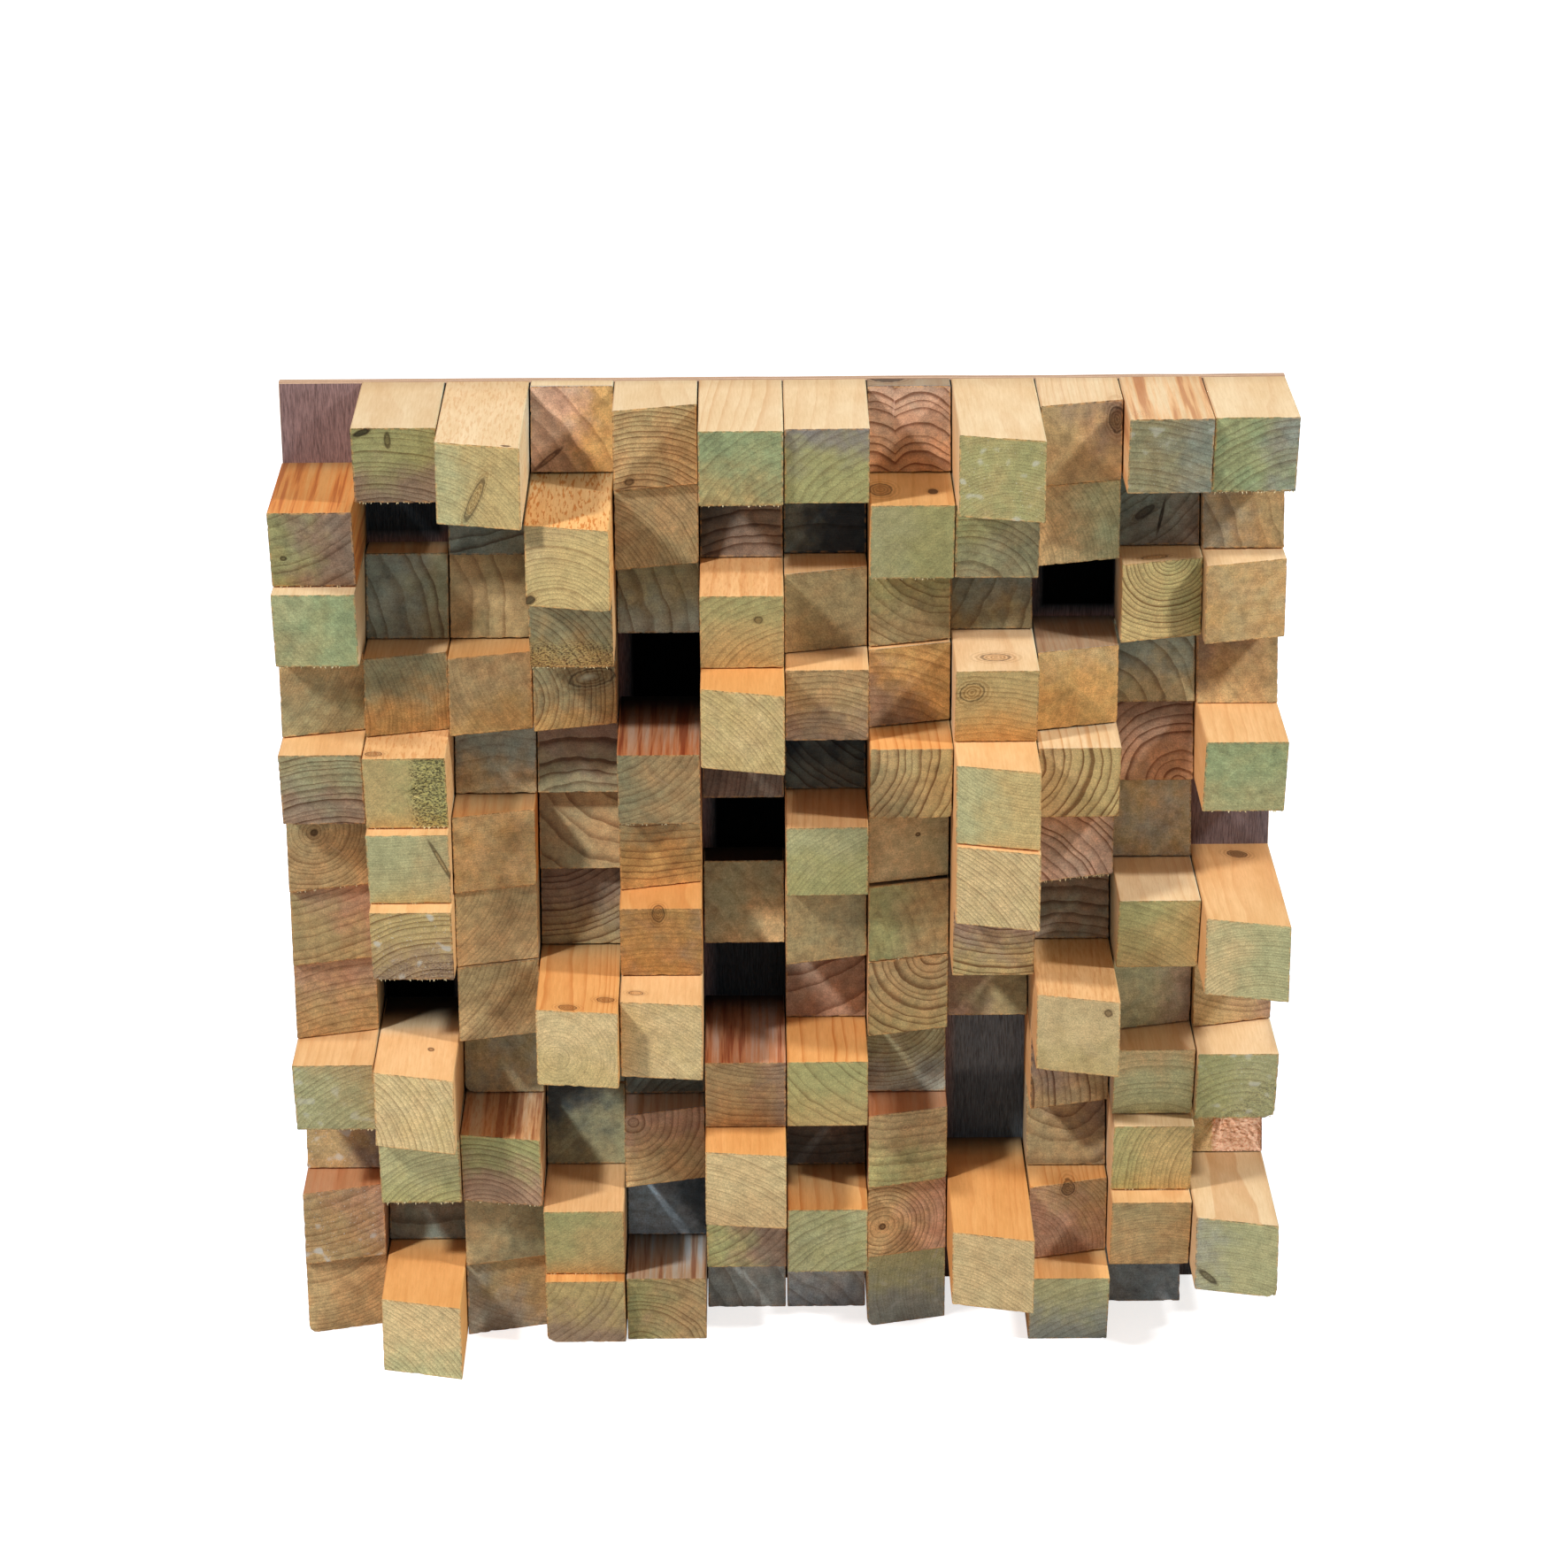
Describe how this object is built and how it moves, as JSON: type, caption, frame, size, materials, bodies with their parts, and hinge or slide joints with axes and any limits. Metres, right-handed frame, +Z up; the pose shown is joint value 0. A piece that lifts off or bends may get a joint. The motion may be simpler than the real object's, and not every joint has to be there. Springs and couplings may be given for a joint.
{
  "type": "acoustic diffuser panel",
  "caption": "Square acoustic diffuser: softwood blocks of uneven length, each sawn off at a lean, glued end-on in a close grid to a thin plywood board, with a few cells left bare.",
  "frame": {"origin": "centre of the board's back face, which lies against the wall", "axes": "+X to the right and +Z up as seen from the room, +Y into the wall, so the blocks point towards -Y"},
  "size_m": [0.43, 0.11, 0.43],
  "materials": {
    "block_timber": "sawn and planed softwood, unfinished",
    "board_plywood": "dark reddish brown plywood, unfinished"
  },
  "bodies": {
    "root": {"backing_board": "board_plywood", "blocks_row_01_cols_01_03": "block_timber", "blocks_row_01_cols_04_06": "block_timber", "blocks_row_01_cols_07_09": "block_timber", "blocks_row_01_cols_10_12": "block_timber", "blocks_row_02_cols_01_03": "block_timber", "blocks_row_02_cols_04_06": "block_timber", "blocks_row_02_cols_07_09": "block_timber", "blocks_row_02_cols_10_12": "block_timber", "blocks_row_03_cols_01_03": "block_timber", "blocks_row_03_cols_04_06": "block_timber", "blocks_row_03_cols_07_09": "block_timber", "blocks_row_03_cols_10_12": "block_timber", "blocks_row_04_cols_01_03": "block_timber", "blocks_row_04_cols_04_06": "block_timber", "blocks_row_04_cols_07_09": "block_timber", "blocks_row_04_cols_10_12": "block_timber", "blocks_row_05_cols_01_03": "block_timber", "blocks_row_05_cols_04_06": "block_timber", "blocks_row_05_cols_07_09": "block_timber", "blocks_row_05_cols_10_12": "block_timber", "blocks_row_06_cols_01_03": "block_timber", "blocks_row_06_cols_04_06": "block_timber", "blocks_row_06_cols_07_09": "block_timber", "blocks_row_06_cols_10_12": "block_timber", "blocks_row_07_cols_01_03": "block_timber", "blocks_row_07_cols_04_06": "block_timber", "blocks_row_07_cols_07_09": "block_timber", "blocks_row_07_cols_10_12": "block_timber", "blocks_row_08_cols_01_03": "block_timber", "blocks_row_08_cols_04_06": "block_timber", "blocks_row_08_cols_07_09": "block_timber", "blocks_row_08_cols_10_12": "block_timber", "blocks_row_09_cols_01_03": "block_timber", "blocks_row_09_cols_04_06": "block_timber", "blocks_row_09_cols_07_09": "block_timber", "blocks_row_09_cols_10_12": "block_timber", "blocks_row_10_cols_01_03": "block_timber", "blocks_row_10_cols_04_06": "block_timber", "blocks_row_10_cols_07_09": "block_timber", "blocks_row_10_cols_10_12": "block_timber", "blocks_row_11_cols_01_03": "block_timber", "blocks_row_11_cols_04_06": "block_timber", "blocks_row_11_cols_07_09": "block_timber", "blocks_row_11_cols_10_12": "block_timber", "blocks_row_12_cols_01_03": "block_timber", "blocks_row_12_cols_04_06": "block_timber", "blocks_row_12_cols_07_09": "block_timber", "blocks_row_12_cols_10_12": "block_timber"}
  },
  "joints": []
}
